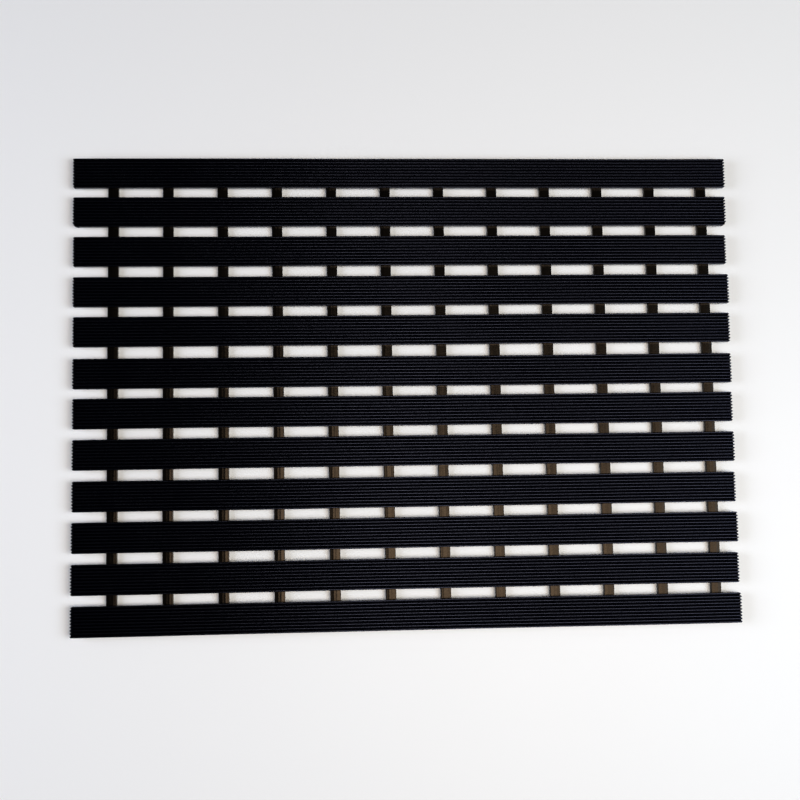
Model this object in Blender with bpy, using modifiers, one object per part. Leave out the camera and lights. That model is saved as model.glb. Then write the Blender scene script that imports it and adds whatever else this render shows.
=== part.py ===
"""Slatted drainage door mat: ribbed slats welded across narrow runner strips, free to roll up between slats.

Metres, +Z up. X runs along the slats, Y along the runners, and the origin is on the floor under the middle
of the mat. Slats are numbered from the back edge (+Y) to the front edge (-Y). The runners are soft and bend
in the gaps between slats, so each is cut there into one length a slat, and the lengths under one slat hang
together on the rib of weld along that slat's underside.
"""

import math

import bmesh
import bpy

# The mat as a whole
MAT_LENGTH = 0.700
MAT_DEPTH = 0.500

# Slats
SLAT_WIDTH = 0.0315
SLAT_THICKNESS = 0.0055
RIB_COUNT = 10
RIB_SHOULDER = 0.0004
GROOVE_WIDTH = 0.0016
GROOVE_DEPTH = 0.0020
CORNER_RADIUS = 0.0018
CORNER_STEPS = 3

# Each slat, back to front, as it was laid and cut by hand: its shift along Y from an even pitch, and how
# far its left and right ends stop short of the mat's edges.
SLAT_LAYS = (
    (0.0000, 0.0000, 0.0000),
    (0.0006, 0.0001, 0.0006),
    (0.0007, 0.0005, 0.0019),
    (0.0003, 0.0005, 0.0005),
    (0.0007, 0.0008, 0.0012),
    (-0.0007, 0.0008, 0.0012),
    (0.0002, 0.0010, 0.0019),
    (0.0003, 0.0010, 0.0014),
    (-0.0003, 0.0010, 0.0022),
    (0.0000, 0.0008, 0.0012),
    (0.0000, 0.0004, 0.0020),
    (0.0000, 0.0005, 0.0007),
)

# Runner strips
RUNNER_COUNT = 12
RUNNER_WIDTH = 0.0108
RUNNER_HEIGHT = 0.0055
RUNNER_CROWN = 0.0010
CROWN_STEPS = 4
RUNNER_INSET = 0.0020
LEFT_OVERHANG = 0.0408
RIGHT_OVERHANG = 0.0251

# The rib of weld under each slat, across all its runners and a little below their crowns
WELD_WIDTH = 0.0040
WELD_THICKNESS = 0.0007
WELD_STEP = 0.0001

# Clearances
WELD_GAP = 0.0003
BEND_GAP = 0.0003
BEND_BACK = math.radians(12)

# The slat that the bends on both sides are counted from
MIDDLE_SLAT = 6

SLAT_COLOUR = (0.012, 0.012, 0.014, 1.0)
RUNNER_COLOUR = (0.015, 0.013, 0.011, 1.0)


def clear_scene():
    for obj in list(bpy.data.objects):
        bpy.data.objects.remove(obj)


def make_material(name, colour, roughness):
    material = bpy.data.materials.new(name)
    material.use_nodes = True
    shader = material.node_tree.nodes["Principled BSDF"]
    shader.inputs["Base Color"].default_value = colour
    shader.inputs["Roughness"].default_value = roughness
    shader.inputs["Metallic"].default_value = 0.0
    return material


def extruded_mesh(name, outline, length):
    """A closed mesh: the flat outline in local XY, carried half the length each way along local Z."""
    curve = bpy.data.curves.new(name, "CURVE")
    curve.dimensions = "2D"
    curve.fill_mode = "BOTH"
    curve.extrude = length / 2
    spline = curve.splines.new("POLY")
    spline.points.add(len(outline) - 1)
    for point, (across, up) in zip(spline.points, outline):
        point.co = (across, up, 0, 1)
    spline.use_cyclic_u = True
    guide = bpy.data.objects.new(name, curve)
    bpy.context.scene.collection.objects.link(guide)
    graph = bpy.context.evaluated_depsgraph_get()
    mesh = bpy.data.meshes.new_from_object(guide.evaluated_get(graph))
    bpy.data.objects.remove(guide)
    bpy.data.curves.remove(curve)
    shape = bmesh.new()
    shape.from_mesh(mesh)
    bmesh.ops.remove_doubles(shape, verts=shape.verts, dist=1e-6)
    bmesh.ops.recalc_face_normals(shape, faces=shape.faces)
    shape.to_mesh(mesh)
    shape.free()
    return mesh


def slat_outline():
    """Across and up round a slat's section: a flat base at 0, and ribs with cut shoulders on top."""
    rib = (SLAT_WIDTH - (RIB_COUNT - 1) * GROOVE_WIDTH) / RIB_COUNT
    top = SLAT_THICKNESS
    shoulder = top - RIB_SHOULDER
    points = [(-SLAT_WIDTH / 2, 0.0)]
    for n in range(RIB_COUNT):
        left = -SLAT_WIDTH / 2 + n * (rib + GROOVE_WIDTH)
        right = left + rib
        if n > 0:
            points.append((left, top - GROOVE_DEPTH))
        points.append((left, shoulder))
        points.append((left + RIB_SHOULDER, top))
        points.append((right - RIB_SHOULDER, top))
        points.append((right, shoulder))
        if n < RIB_COUNT - 1:
            points.append((right, top - GROOVE_DEPTH))
    points.append((SLAT_WIDTH / 2, 0.0))
    return points


def round_corners(mesh, length):
    """Rounds a slat's four upright corners: its ends draw back on an arc towards each long side."""
    straight = SLAT_WIDTH / 2 - CORNER_RADIUS
    shape = bmesh.new()
    shape.from_mesh(mesh)
    for step in range(CORNER_STEPS):
        across = straight + CORNER_RADIUS * math.sin(math.pi / 2 * step / CORNER_STEPS)
        for side in (-1, 1):
            everything = shape.verts[:] + shape.edges[:] + shape.faces[:]
            bmesh.ops.bisect_plane(
                shape, geom=everything, dist=1e-6, plane_co=(side * across, 0, 0), plane_no=(1, 0, 0)
            )
    for vert in shape.verts:
        past = max(0.0, abs(vert.co.x) - straight)
        inset = CORNER_RADIUS - math.sqrt(max(0.0, CORNER_RADIUS**2 - past**2))
        if abs(vert.co.z) > length / 2 - 1e-6:
            vert.co.z -= math.copysign(inset, vert.co.z)
    bmesh.ops.triangulate(shape, faces=shape.faces)
    shape.to_mesh(mesh)
    shape.free()


def runner_outline():
    """Across and up round a runner's section: flat base, upright sides and a crowned top."""
    half = RUNNER_WIDTH / 2
    radius = (half**2 + RUNNER_CROWN**2) / (2 * RUNNER_CROWN)
    spread = math.asin(half / radius)
    points = [(half, 0.0)]
    for step in range(CROWN_STEPS + 1):
        turn = spread * (1 - 2 * step / CROWN_STEPS)
        points.append((radius * math.sin(turn), RUNNER_HEIGHT - radius * (1 - math.cos(turn))))
    points.append((-half, 0.0))
    return points


def cut_ends(mesh, bends_at_back, bends_at_front):
    """Draws the end faces at a bend back from its axis, more so lower down, to let the mat bend backwards."""
    for vert in mesh.vertices:
        at_back = vert.co.z < 0
        if (at_back and bends_at_back) or (not at_back and bends_at_front):
            below = RUNNER_HEIGHT - vert.co.y
            drawn_back = BEND_GAP / 2 + below * math.tan(BEND_BACK / 2)
            vert.co.z -= math.copysign(drawn_back, vert.co.z)


def add_object(name, mesh, material, collection, parent, place, turn):
    obj = bpy.data.objects.new(name, mesh)
    mesh.materials.clear()
    mesh.materials.append(material)
    mesh.shade_smooth()
    mesh.set_sharp_from_angle(angle=math.radians(25))
    collection.objects.link(obj)
    put(obj, parent, place)
    obj.rotation_euler = turn
    return obj


def put(obj, parent, place):
    """Places an object at a point of the world under a parent that is itself only moved, never turned."""
    obj.parent = parent
    obj["place"] = place
    held = parent["place"] if parent else (0.0, 0.0, 0.0)
    obj.location = [here - there for here, there in zip(place, held)]


def add_bend_axis(name, collection, parent, y):
    empty = bpy.data.objects.new(name, None)
    empty.empty_display_type = "SINGLE_ARROW"
    empty.empty_display_size = 0.02
    collection.objects.link(empty)
    put(empty, parent, (0.0, y, RUNNER_HEIGHT))
    return empty


def slat_centres():
    """Y of each slat's centre line, back to front."""
    pitch = (MAT_DEPTH - SLAT_WIDTH) / (len(SLAT_LAYS) - 1)
    back = (MAT_DEPTH - SLAT_WIDTH) / 2
    return [back - pitch * n + lay[0] for n, lay in enumerate(SLAT_LAYS)]


def row_edges(centres):
    """Y where each row of runner lengths begins, back to front, and where the last one ends."""
    between = [(behind + ahead) / 2 for behind, ahead in zip(centres, centres[1:])]
    outer = SLAT_WIDTH / 2 - RUNNER_INSET
    return [centres[0] + outer, *between, centres[-1] - outer]


def add_slat(number, y, material, collection, parent):
    left, right = SLAT_LAYS[number - 1][1:]
    length = MAT_LENGTH - left - right
    name = f"slat_{number:02d}"
    mesh = extruded_mesh(name, slat_outline(), length)
    round_corners(mesh, length)
    place = ((left - right) / 2, y, RUNNER_HEIGHT + WELD_GAP)
    add_object(name, mesh, material, collection, parent, place, (math.pi / 2, 0, math.pi / 2))


def add_weld_rib(number, y, cutters):
    """The bar that joins a row of runner lengths, from the middle of the first to the middle of the last."""
    bpy.ops.mesh.primitive_cube_add(size=1.0)
    rib = bpy.context.object
    rib.name = f"weld_rib_{number:02d}"
    run = MAT_LENGTH - LEFT_OVERHANG - RIGHT_OVERHANG
    rib.scale = (run, WELD_WIDTH, WELD_THICKNESS)
    rib.location = ((LEFT_OVERHANG - RIGHT_OVERHANG) / 2, y, RUNNER_HEIGHT - WELD_STEP - WELD_THICKNESS / 2)
    rib.hide_render = True
    rib.display_type = "WIRE"
    for holder in list(rib.users_collection):
        holder.objects.unlink(rib)
    cutters.objects.link(rib)
    return rib


def add_runner_row(number, y, back, front, material, collection, cutters, parent):
    """The lengths of all the runner strips that belong to one slat, from one bend axis to the next."""
    name = f"runner_lengths_{number:02d}"
    mesh = extruded_mesh(name, runner_outline(), back - front)
    cut_ends(mesh, number > 1, number < len(SLAT_LAYS))
    place = (LEFT_OVERHANG - MAT_LENGTH / 2, (back + front) / 2, 0.0)
    row = add_object(name, mesh, material, collection, parent, place, (math.pi / 2, 0, 0))
    strips = row.modifiers.new("strips", "ARRAY")
    strips.count = RUNNER_COUNT
    strips.use_relative_offset = False
    strips.use_constant_offset = True
    pitch = (MAT_LENGTH - LEFT_OVERHANG - RIGHT_OVERHANG) / (RUNNER_COUNT - 1)
    strips.constant_offset_displace = (pitch, 0, 0)
    weld = row.modifiers.new("weld", "BOOLEAN")
    weld.operation = "UNION"
    weld.object = add_weld_rib(number, y, cutters)


def add_bend_axes(edges, collection):
    """{slat: the empty on the axis that its row turns about}, each under the axis one nearer the middle."""
    axes = {MIDDLE_SLAT: None}
    for number in range(MIDDLE_SLAT + 1, len(SLAT_LAYS) + 1):
        axes[number] = add_bend_axis(f"bend_{number - 1:02d}", collection, axes[number - 1], edges[number - 1])
    for number in range(MIDDLE_SLAT - 1, 0, -1):
        axes[number] = add_bend_axis(f"bend_{number:02d}", collection, axes[number + 1], edges[number])
    return axes


def main():
    clear_scene()
    collection = bpy.data.collections.new("slatted_door_mat")
    bpy.context.scene.collection.children.link(collection)
    cutters = bpy.data.collections.new("weld_ribs")
    bpy.context.scene.collection.children.link(cutters)
    slat_plastic = make_material("ribbed_slat_plastic", SLAT_COLOUR, 0.42)
    runner_plastic = make_material("runner_plastic", RUNNER_COLOUR, 0.36)
    centres = slat_centres()
    edges = row_edges(centres)
    axes = add_bend_axes(edges, collection)
    for number, y in enumerate(centres, 1):
        add_slat(number, y, slat_plastic, collection, axes[number])
        back, front = edges[number - 1], edges[number]
        add_runner_row(number, y, back, front, runner_plastic, collection, cutters, axes[number])


main()
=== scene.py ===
"""Looks of a slatted drainage mat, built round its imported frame.

Metres, +Z up. X runs along the ribbed slats and Y along the runner strips under them. Slats are numbered
from the back edge (+Y) to the front edge (-Y). Each slat is one extruded ribbed bar. The runner strips are
continuous on the real mat, so here they are shown whole, bending in the gaps between the slats.
"""

import math

import bpy
import numpy as np
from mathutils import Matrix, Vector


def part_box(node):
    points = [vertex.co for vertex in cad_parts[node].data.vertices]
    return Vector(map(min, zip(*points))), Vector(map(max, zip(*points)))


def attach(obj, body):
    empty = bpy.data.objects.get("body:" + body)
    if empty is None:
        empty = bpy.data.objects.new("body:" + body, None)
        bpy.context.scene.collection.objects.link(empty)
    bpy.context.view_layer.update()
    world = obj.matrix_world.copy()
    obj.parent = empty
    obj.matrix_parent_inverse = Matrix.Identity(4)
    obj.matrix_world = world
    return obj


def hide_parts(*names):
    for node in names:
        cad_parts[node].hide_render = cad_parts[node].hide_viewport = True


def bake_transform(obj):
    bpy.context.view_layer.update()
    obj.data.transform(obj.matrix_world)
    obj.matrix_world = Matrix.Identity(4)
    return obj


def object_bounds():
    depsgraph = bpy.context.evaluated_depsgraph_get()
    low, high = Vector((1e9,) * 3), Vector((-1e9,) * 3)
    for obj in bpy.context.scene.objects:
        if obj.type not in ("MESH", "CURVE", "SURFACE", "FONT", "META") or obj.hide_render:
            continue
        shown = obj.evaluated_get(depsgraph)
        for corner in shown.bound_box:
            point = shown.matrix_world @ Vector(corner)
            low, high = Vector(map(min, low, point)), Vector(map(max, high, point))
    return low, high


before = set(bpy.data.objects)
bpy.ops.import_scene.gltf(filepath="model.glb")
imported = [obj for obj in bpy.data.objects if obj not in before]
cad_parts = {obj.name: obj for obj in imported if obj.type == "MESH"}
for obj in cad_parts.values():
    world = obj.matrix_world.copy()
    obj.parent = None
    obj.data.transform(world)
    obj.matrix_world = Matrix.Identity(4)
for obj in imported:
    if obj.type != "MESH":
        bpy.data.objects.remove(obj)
cad_low, cad_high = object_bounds()

MM = 0.001

# The mat's layout
SLAT_COUNT = 12
RUNNER_COUNT = 12
RUNNER_WIDTH = 10.8 * MM

# A slat's ribbed section
RIB_COUNT = 10
GROOVE_WIDTH = 1.6 * MM
GROOVE_DEPTH = 2.4 * MM
GROOVE_DRAFT = 0.35 * MM
GROOVE_POINT = 0.45 * MM
RIB_SHOULDER = 0.42 * MM
RIB_CROWN = 0.19 * MM
SHOULDER_STEPS = 4
CROWN_STEPS = 4
BASE_ROUND = 0.45 * MM

# How a slat runs and how its ends are cut
SLAT_STATIONS = 52
SLAT_WANDER = 0.22 * MM
END_STEPS = (0.0, 0.10 * MM, 0.35 * MM, 1.2 * MM)
END_BURR = 0.10 * MM
TOOTH_DEPTH = 0.80 * MM
TOOTH_ROUND = 0.45 * MM

# Corner cuts, as (run along the slat, run across it): the front corners, then the back corners
PLAIN_CORNER = (2.3 * MM, 2.4 * MM)
SHARP_CORNER = (1.5 * MM, 1.4 * MM)
CORNERS = {
    1: {"back_left": SHARP_CORNER, "back_right": SHARP_CORNER},
    2: {"front_left": (6.2 * MM, 3.6 * MM), "front_right": (5.4 * MM, 3.2 * MM)},
    11: {"back_left": (2.5 * MM, 2.6 * MM)},
    12: {
        "back_left": (2.9 * MM, 2.8 * MM),
        "back_right": (2.4 * MM, 3.0 * MM),
        "front_left": SHARP_CORNER,
        "front_right": SHARP_CORNER,
    },
}

# A runner strip's section and length
STRIP_SHOULDER = 0.55 * MM
STRIP_CROWN = 0.3 * MM
STRIP_INNER_STEPS = 14
STRIP_BASE_ROUND = 0.4 * MM
STRIP_FLUTE = 0.08 * MM
STRIP_FLUTES = 3
TREAD_DEPTH = 0.25 * MM
TREAD_COUNT = 4
STRIP_WANDER = 0.22 * MM
WELD_CREEP = 1.6 * MM
UNDER_STEPS = 7
GAP_STEPS = 14
SEAM_GAP = 0.02 * MM
CONTACT_GAP = 0.01 * MM
STRIP_END_ROUND = 0.25 * MM

SHARP_ANGLE = math.radians(50)

# A slow wander along a piece: each wave's turns over the whole reach, and its height
WAVES = ((1.1, 1.0), (2.3, 0.5), (4.1, 0.15))
STRIP_SEEDS = 100

# The rib_height mark of a slat's flat underside, between a groove's floor (0) and a rib's top (1)
UNDERSIDE_MARK = 0.3

# The plastic's finish, shared by slats and runner strips
PLASTIC_IOR = 1.53
DUSTY_ROUGHNESS = 0.80
SAWN_ROUGHNESS = 0.72
GRAIN_SCALE = 2400.0
GRAIN_SHARE = 0.3
SAW_SCALE = 5200.0
BUMP_DISTANCE = 0.06 * MM

# The floor
FLOOR_HALF = 4.0
FLOOR_DROP = 0.02 * MM
FLOOR_COLOUR = (0.89, 0.85, 0.80, 1.0)
FLOOR_SPECULAR = 0.3
FLOOR_ROUGHNESS = (0.38, 0.48)

# The surround, from a cool ring at the horizon to near black overhead, and the soft boxes
RING_COLOUR = (0.70, 0.82, 1.0, 1.0)
OVERHEAD_COLOUR = (0.10, 0.10, 0.11, 1.0)
OVERHEAD_RISE = (0.35, 0.95)
SURROUND_STRENGTH = 0.10
WARM_WINDOW = (1.0, 0.945, 0.86)
MAT_MIDDLE = (0.0, 0.0, 0.0)
SOFT_BOXES = (
    # name, place, size, power in watts, colour
    ("near_window", (0.15, -0.25, 2.2), (0.60, 0.80), 16.0, WARM_WINDOW),
    ("far_window", (0.95, -0.30, 2.2), (1.00, 0.80), 16.5, WARM_WINDOW),
    ("right_box", (1.9, -0.4, 1.9), (1.4, 1.4), 37.0, (0.67, 0.81, 1.0)),
    ("left_box", (-2.3, 0.0, 1.2), (1.4, 1.4), 41.0, (0.71, 0.80, 1.0)),
)

# The camera and the view
SENSOR_WIDTH_MM = 36.0
LENS_MM = 51.75
CAMERA_PLACE = (-0.08068, -0.11568, 1.21616)
CAMERA_TURN = (5.0499, -3.342, -0.9573)
VIEW_GAMMA = 0.8


# ---------------------------------------------------------------- surfaces


def skin(name, top, base, marks):
    """A closed surface between two grids of points, an upper and a lower one, with the same stations and the
    same places across. The ring round each station is the upper row followed by the lower row backwards, the
    sides join each ring to the next, and each end is closed by quads from the upper row to the lower one.
    Arrays are (copies, stations, across, 3), and a mark is a number for each point of the ring."""
    ring = np.concatenate([top, base[:, :, ::-1]], axis=2)
    copies, stations, around = ring.shape[:3]
    number = np.arange(copies * stations * around).reshape(copies, stations, around)
    ahead = np.roll(number, -1, axis=2)
    sides = np.stack([number[:, :-1], number[:, 1:], ahead[:, 1:], ahead[:, :-1]], axis=-1)
    half = around // 2
    upper = number[:, :, :half]
    lower = number[:, :, : half - 1 : -1]
    ends = np.stack([upper[..., :-1], upper[..., 1:], lower[..., 1:], lower[..., :-1]], axis=-1)
    first = ends[:, 0].reshape(-1, 4)
    last = ends[:, -1].reshape(-1, 4)[:, ::-1]
    faces = np.concatenate([sides.reshape(-1, 4), first, last])
    mesh = bpy.data.meshes.new(name)
    mesh.from_pydata(ring.reshape(-1, 3).tolist(), [], faces.tolist())
    for mark, values in marks.items():
        layer = mesh.attributes.new(mark, "FLOAT", "POINT")
        spread = np.broadcast_to(values, ring.shape[:3]).astype(np.float32)
        layer.data.foreach_set("value", spread.ravel())
    mesh.shade_smooth()
    mesh.set_sharp_from_angle(angle=SHARP_ANGLE)
    piece = bpy.data.objects.new(name, mesh)
    bpy.context.scene.collection.objects.link(piece)
    return piece


def quarter_round(radius):
    """Across and down along a quarter circle, from its upright side to its top."""
    turn = np.linspace(0, math.pi / 2, SHOULDER_STEPS + 1)
    return radius * (1 - np.cos(turn)), radius * (1 - np.sin(turn))


def slow_wave(place, seed, reach):
    """A gentle wander between -1 and 1: the sum of height * sin(rate * turn + phase) over the waves, at
    seeded phases, divided by the sum of their heights."""
    phases = np.random.default_rng(seed).uniform(0, 2 * math.pi, len(WAVES))
    turns = 2 * math.pi * place / reach
    total = sum(height * np.sin(rate * turns + phase) for (rate, height), phase in zip(WAVES, phases))
    return total / sum(height for rate, height in WAVES)


def rib_section(width):
    """Across, and drop below the top, over a slat's ribs: each rib is a quarter round, a slight crown and a
    quarter round, and each groove narrows between two steep walls to a blunt vee."""
    rib = (width - (RIB_COUNT - 1) * GROOVE_WIDTH) / RIB_COUNT
    rise, fall = quarter_round(RIB_SHOULDER)
    crown = np.linspace(RIB_SHOULDER, rib - RIB_SHOULDER, CROWN_STEPS + 1)[1:-1]
    over_rib = np.concatenate([rise, crown, rib - rise[::-1]])
    rib_drop = np.concatenate([fall, 0 * crown, fall[::-1]])
    rib_drop = rib_drop + RIB_CROWN * (2 * over_rib / rib - 1) ** 2
    over_groove = np.array([GROOVE_DRAFT, GROOVE_WIDTH / 2, GROOVE_WIDTH - GROOVE_DRAFT])
    groove_drop = GROOVE_DEPTH - np.array([GROOVE_POINT, 0, GROOVE_POINT])
    starts = np.arange(RIB_COUNT)[:, None] * (rib + GROOVE_WIDTH)
    across = (starts + np.concatenate([over_rib, rib + over_groove])).ravel()
    drop = np.tile(np.concatenate([rib_drop, groove_drop]), RIB_COUNT)
    used = len(across) - len(over_groove)
    return across[:used], drop[:used]


def corner_inset(past, corner):
    """How far a slat's end draws back: a quarter ellipse, from nothing at the corner's run to all of it."""
    along, over = corner
    share = np.clip(1 - past / over, 0, 1)
    return along * (1 - np.sqrt(1 - share**2))


def end_inset(across, drop, width, front, back):
    """How far each place across a slat's end is drawn back: its two corners, and the teeth, whose ribs stand
    out past the groove floors."""
    depth = np.clip(drop / GROOVE_DEPTH, 0, 1)
    teeth = TOOTH_DEPTH * depth + TOOTH_ROUND * np.clip(drop / RIB_SHOULDER, 0, 1) ** 2 * (1 - depth)
    return np.maximum(teeth, corner_inset(across, front)) + corner_inset(width - across, back)


def ribbed_slat(number):
    """One slat: its ribbed section carried along X between its two cut ends, wandering a little in Y. The
    lower side is flat with rounded edges."""
    low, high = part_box(f"slat_{number:02d}")
    width = high.y - low.y
    across, drop = rib_section(width)
    cuts = CORNERS.get(number, {})
    front_left = cuts.get("front_left", PLAIN_CORNER)
    front_right = cuts.get("front_right", PLAIN_CORNER)
    back_left = cuts.get("back_left", PLAIN_CORNER)
    back_right = cuts.get("back_right", PLAIN_CORNER)
    left = low.x + end_inset(across, drop, width, front_left, back_left)
    right = high.x - end_inset(across, drop, width, front_right, back_right)
    steps = np.array(END_STEPS)[:, None]
    share = np.linspace(0, 1, SLAT_STATIONS + 2)[1:-1, None]
    x = np.concatenate([left + steps, left + (right - left) * share, (right - steps)[::-1]])
    outward = {1: 1.0, SLAT_COUNT: -1.0}.get(number, 0.0)
    wander = SLAT_WANDER * (slow_wave(x, number, high.x - low.x) - outward)
    burr = np.zeros(len(x))
    burr[[0, -1]] = END_BURR
    burr = burr[:, None]
    middle = (low.y + high.y) / 2
    squeeze = 1 - 2 * burr / width
    y = middle + (low.y + across - middle) * squeeze + wander
    edge = np.minimum(across, width - across)
    under = np.clip(1 - edge / BASE_ROUND, 0, 1)
    base_rise = BASE_ROUND * (1 - np.sqrt(1 - under**2))
    top_z = np.broadcast_to(high.z - drop, x.shape) - burr
    base_z = np.broadcast_to(low.z + base_rise, x.shape) + burr
    top = np.stack([x, y, top_z], axis=-1)[None]
    base = np.stack([x, y, base_z], axis=-1)[None]
    height = 1 - np.clip(drop / GROOVE_DEPTH, 0, 1)
    cut = np.zeros((1, len(x), 1))
    cut[:, [0, -1]] = 1.0
    underside = np.full(len(height), UNDERSIDE_MARK)
    marks = {"rib_height": np.concatenate([height, underside]), "cut_face": cut}
    return skin(f"ribbed_slat_{number:02d}", top, base, marks)


def strip_section():
    """Across, drop below the crown's top, and rise above the floor, over one runner strip: rounded shoulders,
    a crown with faint flutes, and a flat foot with shallow treads."""
    rise, fall = quarter_round(STRIP_SHOULDER)
    inner = np.linspace(STRIP_SHOULDER, RUNNER_WIDTH - STRIP_SHOULDER, STRIP_INNER_STEPS + 1)[1:-1]
    across = np.concatenate([rise, inner, RUNNER_WIDTH - rise[::-1]])
    drop = np.concatenate([fall, 0 * inner, fall[::-1]])
    share = 2 * across / RUNNER_WIDTH - 1
    fade = np.clip(1 - share**4, 0, 1)
    flutes = STRIP_FLUTE * fade * (1 - np.cos(math.pi * STRIP_FLUTES * (share + 1))) / 2
    crown = STRIP_CROWN * share**2
    edge = np.minimum(across, RUNNER_WIDTH - across)
    under = np.clip(1 - edge / STRIP_BASE_ROUND, 0, 1)
    treads = TREAD_DEPTH * fade * np.clip(np.cos(math.pi * TREAD_COUNT * (share + 1)), 0, 1)
    rise_above = np.maximum(STRIP_BASE_ROUND * (1 - np.sqrt(1 - under**2)), treads)
    return across, drop, crown + flutes, rise_above


def strip_stations(behind, ahead, back_end, front_end):
    """Y along the strips from one slat to the next, front to back: a few places under each slat, and close
    ones in the gap, where the strips bend. Both slats are given as their (low, high) in Y."""
    under_back = np.linspace(behind[0], back_end, UNDER_STEPS + 1)
    gap = np.linspace(ahead[1], behind[0], GAP_STEPS + 1)[1:-1]
    under_front = np.linspace(front_end, ahead[1], UNDER_STEPS + 1)
    return np.concatenate([under_front, gap, under_back])


def runner_bend(number, slat_boxes):
    """The twelve strips from the middle of one slat to the middle of the next, or out to the strips' own ends
    at the mat's edges: a crowned section carried along Y, pressed flat against each slat where they meet."""
    (back_low, back_high), (front_low, front_high) = slat_boxes[number], slat_boxes[number + 1]
    row_low, row_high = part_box(f"runner_lengths_{number:02d}")
    height = row_high.z
    last = number + 1 == SLAT_COUNT
    back_end = row_high.y if number == 1 else (back_low.y + back_high.y) / 2 - SEAM_GAP
    front_end = (front_low.y + front_high.y) / 2 + SEAM_GAP
    if last:
        front_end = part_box(f"runner_lengths_{number + 1:02d}")[0].y
    y = strip_stations((back_low.y, back_high.y), (front_low.y, front_high.y), back_end, front_end)
    into_back = (y - back_low.y) / WELD_CREEP
    into_front = (front_high.y - y) / WELD_CREEP
    press = np.clip(np.maximum(into_back, into_front), 0, 1)
    press = (press * press * (3 - 2 * press))[:, None]
    across, shoulder, crown, foot = strip_section()
    lift = back_low.z - CONTACT_GAP - height
    top_z = height - shoulder - crown * (1 - press) + lift * press
    base_z = np.broadcast_to(foot, top_z.shape).copy()
    round_ends(y, top_z, base_z, number == 1, last)
    pitch = (row_high.x - row_low.x - RUNNER_WIDTH) / (RUNNER_COUNT - 1)
    starts = (row_low.x + pitch * np.arange(RUNNER_COUNT))[:, None, None]
    reach = cad_high.y - cad_low.y
    wander = np.stack([slow_wave(y, STRIP_SEEDS + strip, reach) for strip in range(RUNNER_COUNT)])
    inward = np.zeros((RUNNER_COUNT, 1, 1))
    inward[0], inward[-1] = 1.0, -1.0
    x = starts + RUNNER_WIDTH - across[None, None] + STRIP_WANDER * (wander[:, :, None] + inward)
    shape = x.shape
    y_grid = np.broadcast_to(y[:, None], shape)
    top = np.stack([x, y_grid, np.broadcast_to(top_z, shape)], axis=-1)
    base = np.stack([x, y_grid, np.broadcast_to(base_z, shape)], axis=-1)
    cut = np.zeros((1, len(y), 1))
    cut[:, 0] = 1.0 if last else 0.0
    cut[:, -1] = 1.0 if number == 1 else 0.0
    crown_share = 1 - np.clip((shoulder + crown) / (STRIP_SHOULDER + STRIP_CROWN), 0, 1)
    marks = {"rib_height": np.concatenate([crown_share, 0 * crown_share]), "cut_face": cut}
    return skin(f"runner_bend_{number:02d}", top, base, marks)


def round_ends(y, top_z, base_z, at_back, at_front):
    """Softens a strip's own cut ends: the last station is drawn in and the one before it comes near to it."""
    for wanted, end, beside, way in ((at_back, -1, -2, -1), (at_front, 0, 1, 1)):
        if not wanted:
            continue
        y[beside] = y[end] + way * STRIP_END_ROUND
        top_z[end] -= STRIP_END_ROUND
        base_z[end] += STRIP_END_ROUND


# ---------------------------------------------------------------- materials


def add_node(tree, kind, place, values=None, **settings):
    """A node at a place on the sheet, with its settings and the starting values of its inputs."""
    node = tree.nodes.new(kind)
    node.location = place
    for name, value in settings.items():
        setattr(node, name, value)
    for name, value in (values or {}).items():
        node.inputs[name].default_value = value
    return node


def new_group(name, inputs, outputs):
    """An empty node group with (name, kind, starting value) inputs and (name, kind) outputs."""
    group = bpy.data.node_groups.new(name, "ShaderNodeTree")
    for label, kind, start in inputs:
        socket = group.interface.new_socket(label, in_out="INPUT", socket_type=kind)
        if start is not None:
            socket.default_value = start
    for label, kind in outputs:
        group.interface.new_socket(label, in_out="OUTPUT", socket_type=kind)
    enter = add_node(group, "NodeGroupInput", (-900, 0))
    leave = add_node(group, "NodeGroupOutput", (500, 0))
    return group, enter, leave


def place_group(tree, group, place, values=None):
    node = add_node(tree, "ShaderNodeGroup", place)
    node.node_tree = group
    for name, value in (values or {}).items():
        node.inputs[name].default_value = value
    return node


def drawn_lines_group():
    """Fine lines that a die leaves along an extrusion: a close and a wide noise, read on coordinates that are
    stretched along it, mixed into one height."""
    inputs = [("Vector", "NodeSocketVector", None), ("Fineness", "NodeSocketFloat", 2600.0)]
    inputs.append(("Wide Share", "NodeSocketFloat", 0.45))
    group, enter, leave = new_group("drawn_lines", inputs, [("Height", "NodeSocketFloat")])
    close = add_node(group, "ShaderNodeTexNoise", (-600, 120), {"Detail": 3.0, "Roughness": 0.6})
    wider = add_node(group, "ShaderNodeMath", (-760, -160), {1: 0.22}, operation="MULTIPLY")
    wide = add_node(group, "ShaderNodeTexNoise", (-600, -160), {"Detail": 2.0, "Roughness": 0.5})
    mix = add_node(group, "ShaderNodeMix", (-300, 0), data_type="FLOAT")
    link = group.links.new
    link(enter.outputs["Vector"], close.inputs["Vector"])
    link(enter.outputs["Fineness"], close.inputs["Scale"])
    link(enter.outputs["Fineness"], wider.inputs[0])
    link(wider.outputs[0], wide.inputs["Scale"])
    link(enter.outputs["Vector"], wide.inputs["Vector"])
    link(enter.outputs["Wide Share"], mix.inputs["Factor"])
    link(close.outputs["Fac"], mix.inputs["A"])
    link(wide.outputs["Fac"], mix.inputs["B"])
    link(mix.outputs["Result"], leave.inputs["Height"])
    return group


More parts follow.
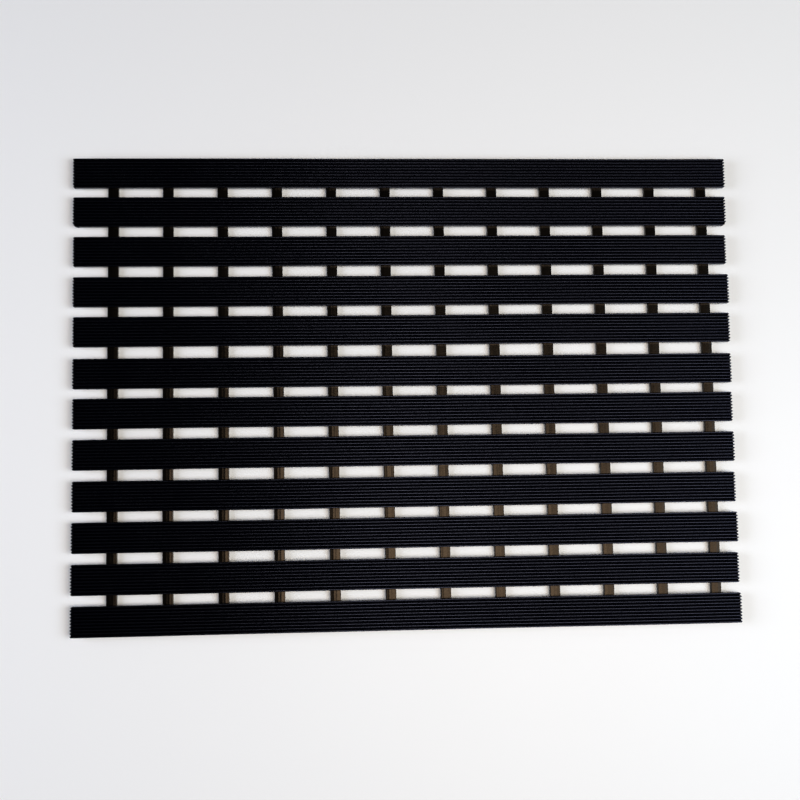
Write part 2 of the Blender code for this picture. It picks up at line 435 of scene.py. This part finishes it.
def handling_group():
    """Soft blotches from handling and cleaning: a slow noise and a faster one, spread between two values."""
    inputs = [("Vector", "NodeSocketVector", None), ("Size", "NodeSocketFloat", 22.0)]
    inputs += [("Low", "NodeSocketFloat", 0.4), ("High", "NodeSocketFloat", 0.5)]
    group, enter, leave = new_group("handling_marks", inputs, [("Value", "NodeSocketFloat")])
    slow_values = {"Detail": 4.0, "Roughness": 0.55, "Distortion": 0.6}
    slow = add_node(group, "ShaderNodeTexNoise", (-600, 120), slow_values)
    finer = add_node(group, "ShaderNodeMath", (-760, -160), {1: 9.0}, operation="MULTIPLY")
    fast = add_node(group, "ShaderNodeTexNoise", (-600, -160), {"Detail": 3.0, "Roughness": 0.6})
    mix = add_node(group, "ShaderNodeMix", (-340, 0), {"Factor": 0.35}, data_type="FLOAT")
    spread = add_node(group, "ShaderNodeMapRange", (-100, 0), {"From Min": 0.32, "From Max": 0.68})
    link = group.links.new
    link(enter.outputs["Vector"], slow.inputs["Vector"])
    link(enter.outputs["Vector"], fast.inputs["Vector"])
    link(enter.outputs["Size"], slow.inputs["Scale"])
    link(enter.outputs["Size"], finer.inputs[0])
    link(finer.outputs[0], fast.inputs["Scale"])
    link(slow.outputs["Fac"], mix.inputs["A"])
    link(fast.outputs["Fac"], mix.inputs["B"])
    link(mix.outputs["Result"], spread.inputs["Value"])
    link(enter.outputs["Low"], spread.inputs["To Min"])
    link(enter.outputs["High"], spread.inputs["To Max"])
    link(spread.outputs["Result"], leave.inputs["Value"])
    return group


def settled_dust_group():
    """Dust that lies in the low places: the share below the rib tops, broken up by a speckled noise."""
    inputs = [("Vector", "NodeSocketVector", None), ("Rib Height", "NodeSocketFloat", 1.0)]
    inputs.append(("Amount", "NodeSocketFloat", 0.2))
    group, enter, leave = new_group("settled_dust", inputs, [("Mask", "NodeSocketFloat")])
    speck_values = {"Scale": 900.0, "Detail": 4.0, "Roughness": 0.7}
    speck = add_node(group, "ShaderNodeTexNoise", (-640, 160), speck_values)
    drift = add_node(group, "ShaderNodeTexNoise", (-640, -120), {"Scale": 14.0, "Detail": 3.0})
    both = add_node(group, "ShaderNodeMath", (-420, 40), operation="MULTIPLY")
    strong = add_node(group, "ShaderNodeMapRange", (-240, 40), {"From Min": 0.18, "From Max": 0.42})
    low = add_node(group, "ShaderNodeMath", (-420, -320), {0: 1.15}, operation="SUBTRACT")
    there = add_node(group, "ShaderNodeMath", (-60, -60), operation="MULTIPLY")
    amount = add_node(group, "ShaderNodeMath", (140, -60), operation="MULTIPLY", use_clamp=True)
    link = group.links.new
    link(enter.outputs["Vector"], speck.inputs["Vector"])
    link(enter.outputs["Vector"], drift.inputs["Vector"])
    link(speck.outputs["Fac"], both.inputs[0])
    link(drift.outputs["Fac"], both.inputs[1])
    link(both.outputs[0], strong.inputs["Value"])
    link(enter.outputs["Rib Height"], low.inputs[1])
    link(strong.outputs["Result"], there.inputs[0])
    link(low.outputs[0], there.inputs[1])
    link(there.outputs[0], amount.inputs[0])
    link(enter.outputs["Amount"], amount.inputs[1])
    link(amount.outputs[0], leave.inputs["Mask"])
    return group


def rub_and_shade_group():
    """The lighter tops: the highest places only, in patches. They are partly rub wear from feet and cleaning
    and partly painted shade, as every lower place keeps the darker tone.
    """
    inputs = [("Vector", "NodeSocketVector", None), ("Rib Height", "NodeSocketFloat", 1.0)]
    inputs.append(("Start", "NodeSocketFloat", 0.72))
    group, enter, leave = new_group("rub_and_shade_tops", inputs, [("Mask", "NodeSocketFloat")])
    high = add_node(group, "ShaderNodeMapRange", (-420, 120), {"From Max": 1.0})
    high.interpolation_type = "SMOOTHSTEP"
    patch_values = {"Scale": 38.0, "Detail": 5.0, "Roughness": 0.62}
    patch = add_node(group, "ShaderNodeTexNoise", (-640, -140), patch_values)
    patch_range = {"From Min": 0.3, "From Max": 0.7, "To Min": 0.45}
    patches = add_node(group, "ShaderNodeMapRange", (-420, -140), patch_range)
    both = add_node(group, "ShaderNodeMath", (-120, 0), operation="MULTIPLY", use_clamp=True)
    link = group.links.new
    link(enter.outputs["Vector"], patch.inputs["Vector"])
    link(enter.outputs["Rib Height"], high.inputs["Value"])
    link(enter.outputs["Start"], high.inputs["From Min"])
    link(patch.outputs["Fac"], patches.inputs["Value"])
    link(high.outputs["Result"], both.inputs[0])
    link(patches.outputs["Result"], both.inputs[1])
    link(both.outputs[0], leave.inputs["Mask"])
    return group


def extruded_plastic(name, groups, look):
    """Soft black plastic as it comes from a die: lines along it, tops lighter from rub wear and painted shade
    below them, dust in the low places, blotches in its gloss, and rougher, greyer faces where it was cut.
    look holds the finish's own values."""
    material = bpy.data.materials.new(name)
    material.use_nodes = True
    tree = material.node_tree
    shader = tree.nodes["Principled BSDF"]
    shader.inputs["Metallic"].default_value = 0.0
    shader.inputs["IOR"].default_value = PLASTIC_IOR
    shader.inputs["Specular IOR Level"].default_value = look["specular"]
    shader.inputs["Specular Tint"].default_value = look["specular_tint"]
    link = tree.links.new
    place = add_node(tree, "ShaderNodeTexCoord", (-1900, 0))
    stretch = add_node(tree, "ShaderNodeMapping", (-1700, 220), {"Scale": look["stretch"]})
    height = add_node(tree, "ShaderNodeAttribute", (-1700, -520), attribute_name="rib_height")
    cut = add_node(tree, "ShaderNodeAttribute", (-1700, -760), attribute_name="cut_face")
    link(place.outputs["Object"], stretch.inputs["Vector"])

    lines = place_group(tree, groups["lines"], (-1400, 220), {"Fineness": look["fineness"]})
    gloss_low, gloss_high = look["gloss"]
    marks = place_group(tree, groups["marks"], (-1400, 0), {"Low": gloss_low, "High": gloss_high})
    dust = place_group(tree, groups["dust"], (-1400, -260), {"Amount": look["dust"]})
    rub_and_shade = place_group(tree, groups["rub_and_shade"], (-1400, -520), {"Start": look["rub_and_shade_start"]})
    link(stretch.outputs["Vector"], lines.inputs["Vector"])
    for group in (marks, dust, rub_and_shade):
        link(place.outputs["Object"], group.inputs["Vector"])
    for group in (dust, rub_and_shade):
        link(height.outputs["Fac"], group.inputs["Rib Height"])

    # Partly painted shade: the darker low tone fills the grooves, the strips' sides and all undersides, and
    # the lighter high tone only the rubbed tops.
    tones = {"A": look["low"], "B": look["high"]}
    tone = add_node(tree, "ShaderNodeMix", (-1000, 160), tones, data_type="RGBA")
    dusty = add_node(tree, "ShaderNodeMix", (-780, 160), {"B": look["dust_colour"]}, data_type="RGBA")
    sawn = add_node(tree, "ShaderNodeMix", (-560, 160), {"B": look["cut_colour"]}, data_type="RGBA")
    link(rub_and_shade.outputs["Mask"], tone.inputs["Factor"])
    link(tone.outputs["Result"], dusty.inputs["A"])
    link(dust.outputs["Mask"], dusty.inputs["Factor"])
    link(dusty.outputs["Result"], sawn.inputs["A"])
    link(cut.outputs["Fac"], sawn.inputs["Factor"])
    link(sawn.outputs["Result"], shader.inputs["Base Color"])

    matt = add_node(tree, "ShaderNodeMix", (-1000, -120), {"B": DUSTY_ROUGHNESS}, data_type="FLOAT")
    coarse = add_node(tree, "ShaderNodeMix", (-780, -120), {"B": SAWN_ROUGHNESS}, data_type="FLOAT")
    link(dust.outputs["Mask"], matt.inputs["Factor"])
    link(marks.outputs["Value"], matt.inputs["A"])
    link(cut.outputs["Fac"], coarse.inputs["Factor"])
    link(matt.outputs["Result"], coarse.inputs["A"])
    link(coarse.outputs["Result"], shader.inputs["Roughness"])

    grain = add_node(tree, "ShaderNodeTexNoise", (-1400, -980), {"Scale": GRAIN_SCALE, "Detail": 2.0})
    saw = add_node(tree, "ShaderNodeTexNoise", (-1400, -1220), {"Scale": SAW_SCALE, "Detail": 3.0})
    across = add_node(tree, "ShaderNodeMapping", (-1600, -1220), {"Scale": look["saw_stretch"]})
    link(place.outputs["Object"], grain.inputs["Vector"])
    link(place.outputs["Object"], across.inputs["Vector"])
    link(across.outputs["Vector"], saw.inputs["Vector"])
    surface = add_node(tree, "ShaderNodeMix", (-1000, -420), {"Factor": GRAIN_SHARE}, data_type="FLOAT")
    relief = add_node(tree, "ShaderNodeMix", (-780, -420), data_type="FLOAT")
    bump_values = {"Strength": look["bump"], "Distance": BUMP_DISTANCE}
    bump = add_node(tree, "ShaderNodeBump", (-520, -420), bump_values)
    link(lines.outputs["Height"], surface.inputs["A"])
    link(grain.outputs["Fac"], surface.inputs["B"])
    link(surface.outputs["Result"], relief.inputs["A"])
    link(saw.outputs["Fac"], relief.inputs["B"])
    link(cut.outputs["Fac"], relief.inputs["Factor"])
    link(relief.outputs["Result"], bump.inputs["Height"])
    link(bump.outputs["Normal"], shader.inputs["Normal"])
    return material


SLAT_LOOK = {
    "specular": 0.40,
    # Painted reflection colour: a blue tint on the slats' reflections that stands in for cool window light.
    "specular_tint": (0.66, 0.70, 1.0, 1.0),
    "stretch": (0.004, 1.0, 1.0),
    "saw_stretch": (1.0, 1.0, 0.05),
    "fineness": 5200.0,
    "gloss": (0.22, 0.28),
    "dust": 0.06,
    "rub_and_shade_start": 0.70,
    # low carries painted shade in the grooves and underneath; high is the lighter top tone, partly rub wear.
    "low": (0.0008, 0.0008, 0.0018, 1.0),
    "high": (0.0022, 0.0023, 0.0032, 1.0),
    "dust_colour": (0.012, 0.012, 0.013, 1.0),
    "cut_colour": (0.0050, 0.0050, 0.0060, 1.0),
    "bump": 0.08,
}

RUNNER_LOOK = {
    "specular": 0.23,
    # Painted reflection colour: a warm tint that makes the strips' highlights warmer than the lamps that cast
    # them.
    "specular_tint": (1.0, 0.76, 0.55, 1.0),
    "stretch": (1.0, 0.006, 1.0),
    "saw_stretch": (1.0, 1.0, 0.05),
    "fineness": 2200.0,
    "gloss": (0.21, 0.27),
    "dust": 0.08,
    "rub_and_shade_start": 0.05,
    # low carries painted shade on the strips' sides and underneath; high is the lighter crown tone, partly
    # rub wear.
    "low": (0.0010, 0.0008, 0.0006, 1.0),
    "high": (0.0030, 0.0024, 0.0018, 1.0),
    "dust_colour": (0.016, 0.013, 0.010, 1.0),
    "cut_colour": (0.0060, 0.0050, 0.0042, 1.0),
    "bump": 0.22,
}


# ---------------------------------------------------------------- stage, light and camera


def pale_floor():
    """A wide, plain, pale floor just under the mat."""
    mesh = bpy.data.meshes.new("pale_floor")
    corners = [(x * FLOOR_HALF, y * FLOOR_HALF, 0.0) for x, y in ((-1, -1), (1, -1), (1, 1), (-1, 1))]
    mesh.from_pydata(corners, [], [(0, 1, 2, 3)])
    floor = bpy.data.objects.new("pale_floor", mesh)
    bpy.context.scene.collection.objects.link(floor)
    floor.location.z = cad_low.z - FLOOR_DROP
    material = bpy.data.materials.new("pale_laminate")
    material.use_nodes = True
    tree = material.node_tree
    shader = tree.nodes["Principled BSDF"]
    shader.inputs["Base Color"].default_value = FLOOR_COLOUR
    shader.inputs["Specular IOR Level"].default_value = FLOOR_SPECULAR
    place = add_node(tree, "ShaderNodeTexCoord", (-900, 0))
    soft = add_node(tree, "ShaderNodeTexNoise", (-700, 0), {"Scale": 6.0, "Detail": 4.0})
    smooth, rough = FLOOR_ROUGHNESS
    gloss = add_node(tree, "ShaderNodeMapRange", (-480, 0), {"To Min": smooth, "To Max": rough})
    tree.links.new(place.outputs["Object"], soft.inputs["Vector"])
    tree.links.new(soft.outputs["Fac"], gloss.inputs["Value"])
    tree.links.new(gloss.outputs["Result"], shader.inputs["Roughness"])
    mesh.materials.append(material)


def soft_box(name, place, aim, size, power, colour):
    """A rectangular soft light at a place, turned to face a point."""
    light = bpy.data.lights.new(name, "AREA")
    light.shape = "RECTANGLE"
    light.size, light.size_y = size
    light.energy = power
    light.color = colour
    lamp = bpy.data.objects.new(name, light)
    bpy.context.scene.collection.objects.link(lamp)
    lamp.location = place
    way = lamp.location.copy()
    way.x, way.y, way.z = (there - here for there, here in zip(aim, place))
    lamp.rotation_euler = way.to_track_quat("-Z", "Y").to_euler()


def studio_light():
    """Two warm windows overhead, a large cool box on each side and a dim cool surround."""
    world = bpy.data.worlds.new("studio_surround")
    world.use_nodes = True
    tree = world.node_tree
    background = tree.nodes["Background"]
    place = add_node(tree, "ShaderNodeTexCoord", (-900, 0))
    apart = add_node(tree, "ShaderNodeSeparateXYZ", (-700, 0))
    low, high = OVERHEAD_RISE
    rise = add_node(tree, "ShaderNodeMapRange", (-500, 0), {"From Min": low, "From Max": high})
    shade_colours = {"A": RING_COLOUR, "B": OVERHEAD_COLOUR}
    shade = add_node(tree, "ShaderNodeMix", (-280, 0), shade_colours, data_type="RGBA")
    tree.links.new(place.outputs["Generated"], apart.inputs["Vector"])
    tree.links.new(apart.outputs["Z"], rise.inputs["Value"])
    tree.links.new(rise.outputs["Result"], shade.inputs["Factor"])
    tree.links.new(shade.outputs["Result"], background.inputs["Color"])
    background.inputs["Strength"].default_value = SURROUND_STRENGTH
    bpy.context.scene.world = world
    for name, place, size, power, colour in SOFT_BOXES:
        soft_box(name, place, MAT_MIDDLE, size, power, colour)


def add_camera():
    """Nearly straight above the mat, a little to the front left of its middle."""
    camera = bpy.data.cameras.new("camera")
    camera.sensor_width = SENSOR_WIDTH_MM
    camera.lens = LENS_MM
    holder = bpy.data.objects.new("camera", camera)
    bpy.context.scene.collection.objects.link(holder)
    holder.location = CAMERA_PLACE
    holder.rotation_euler = [math.radians(turn) for turn in CAMERA_TURN]
    bpy.context.scene.camera = holder


# ---------------------------------------------------------------- the mat


def build_mat():
    groups = {
        "lines": drawn_lines_group(),
        "marks": handling_group(),
        "dust": settled_dust_group(),
        "rub_and_shade": rub_and_shade_group(),
    }
    slat_plastic = extruded_plastic("ribbed_slat_plastic", groups, SLAT_LOOK)
    runner_plastic = extruded_plastic("runner_strip_plastic", groups, RUNNER_LOOK)
    slat_boxes = {number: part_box(f"slat_{number:02d}") for number in range(1, SLAT_COUNT + 1)}
    for number in range(1, SLAT_COUNT + 1):
        slat = ribbed_slat(number)
        slat.data.materials.append(slat_plastic)
        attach(slat, f"row_{number:02d}")
        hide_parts(f"slat_{number:02d}")
    for number in range(1, SLAT_COUNT):
        strips = runner_bend(number, slat_boxes)
        strips.data.materials.append(runner_plastic)
        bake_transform(strips)
        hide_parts(f"runner_lengths_{number:02d}")
        if number + 1 == SLAT_COUNT:
            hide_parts(f"runner_lengths_{SLAT_COUNT:02d}")


build_mat()
pale_floor()
studio_light()
add_camera()
bpy.context.scene.view_settings.view_transform = "Standard"
bpy.context.scene.view_settings.gamma = VIEW_GAMMA
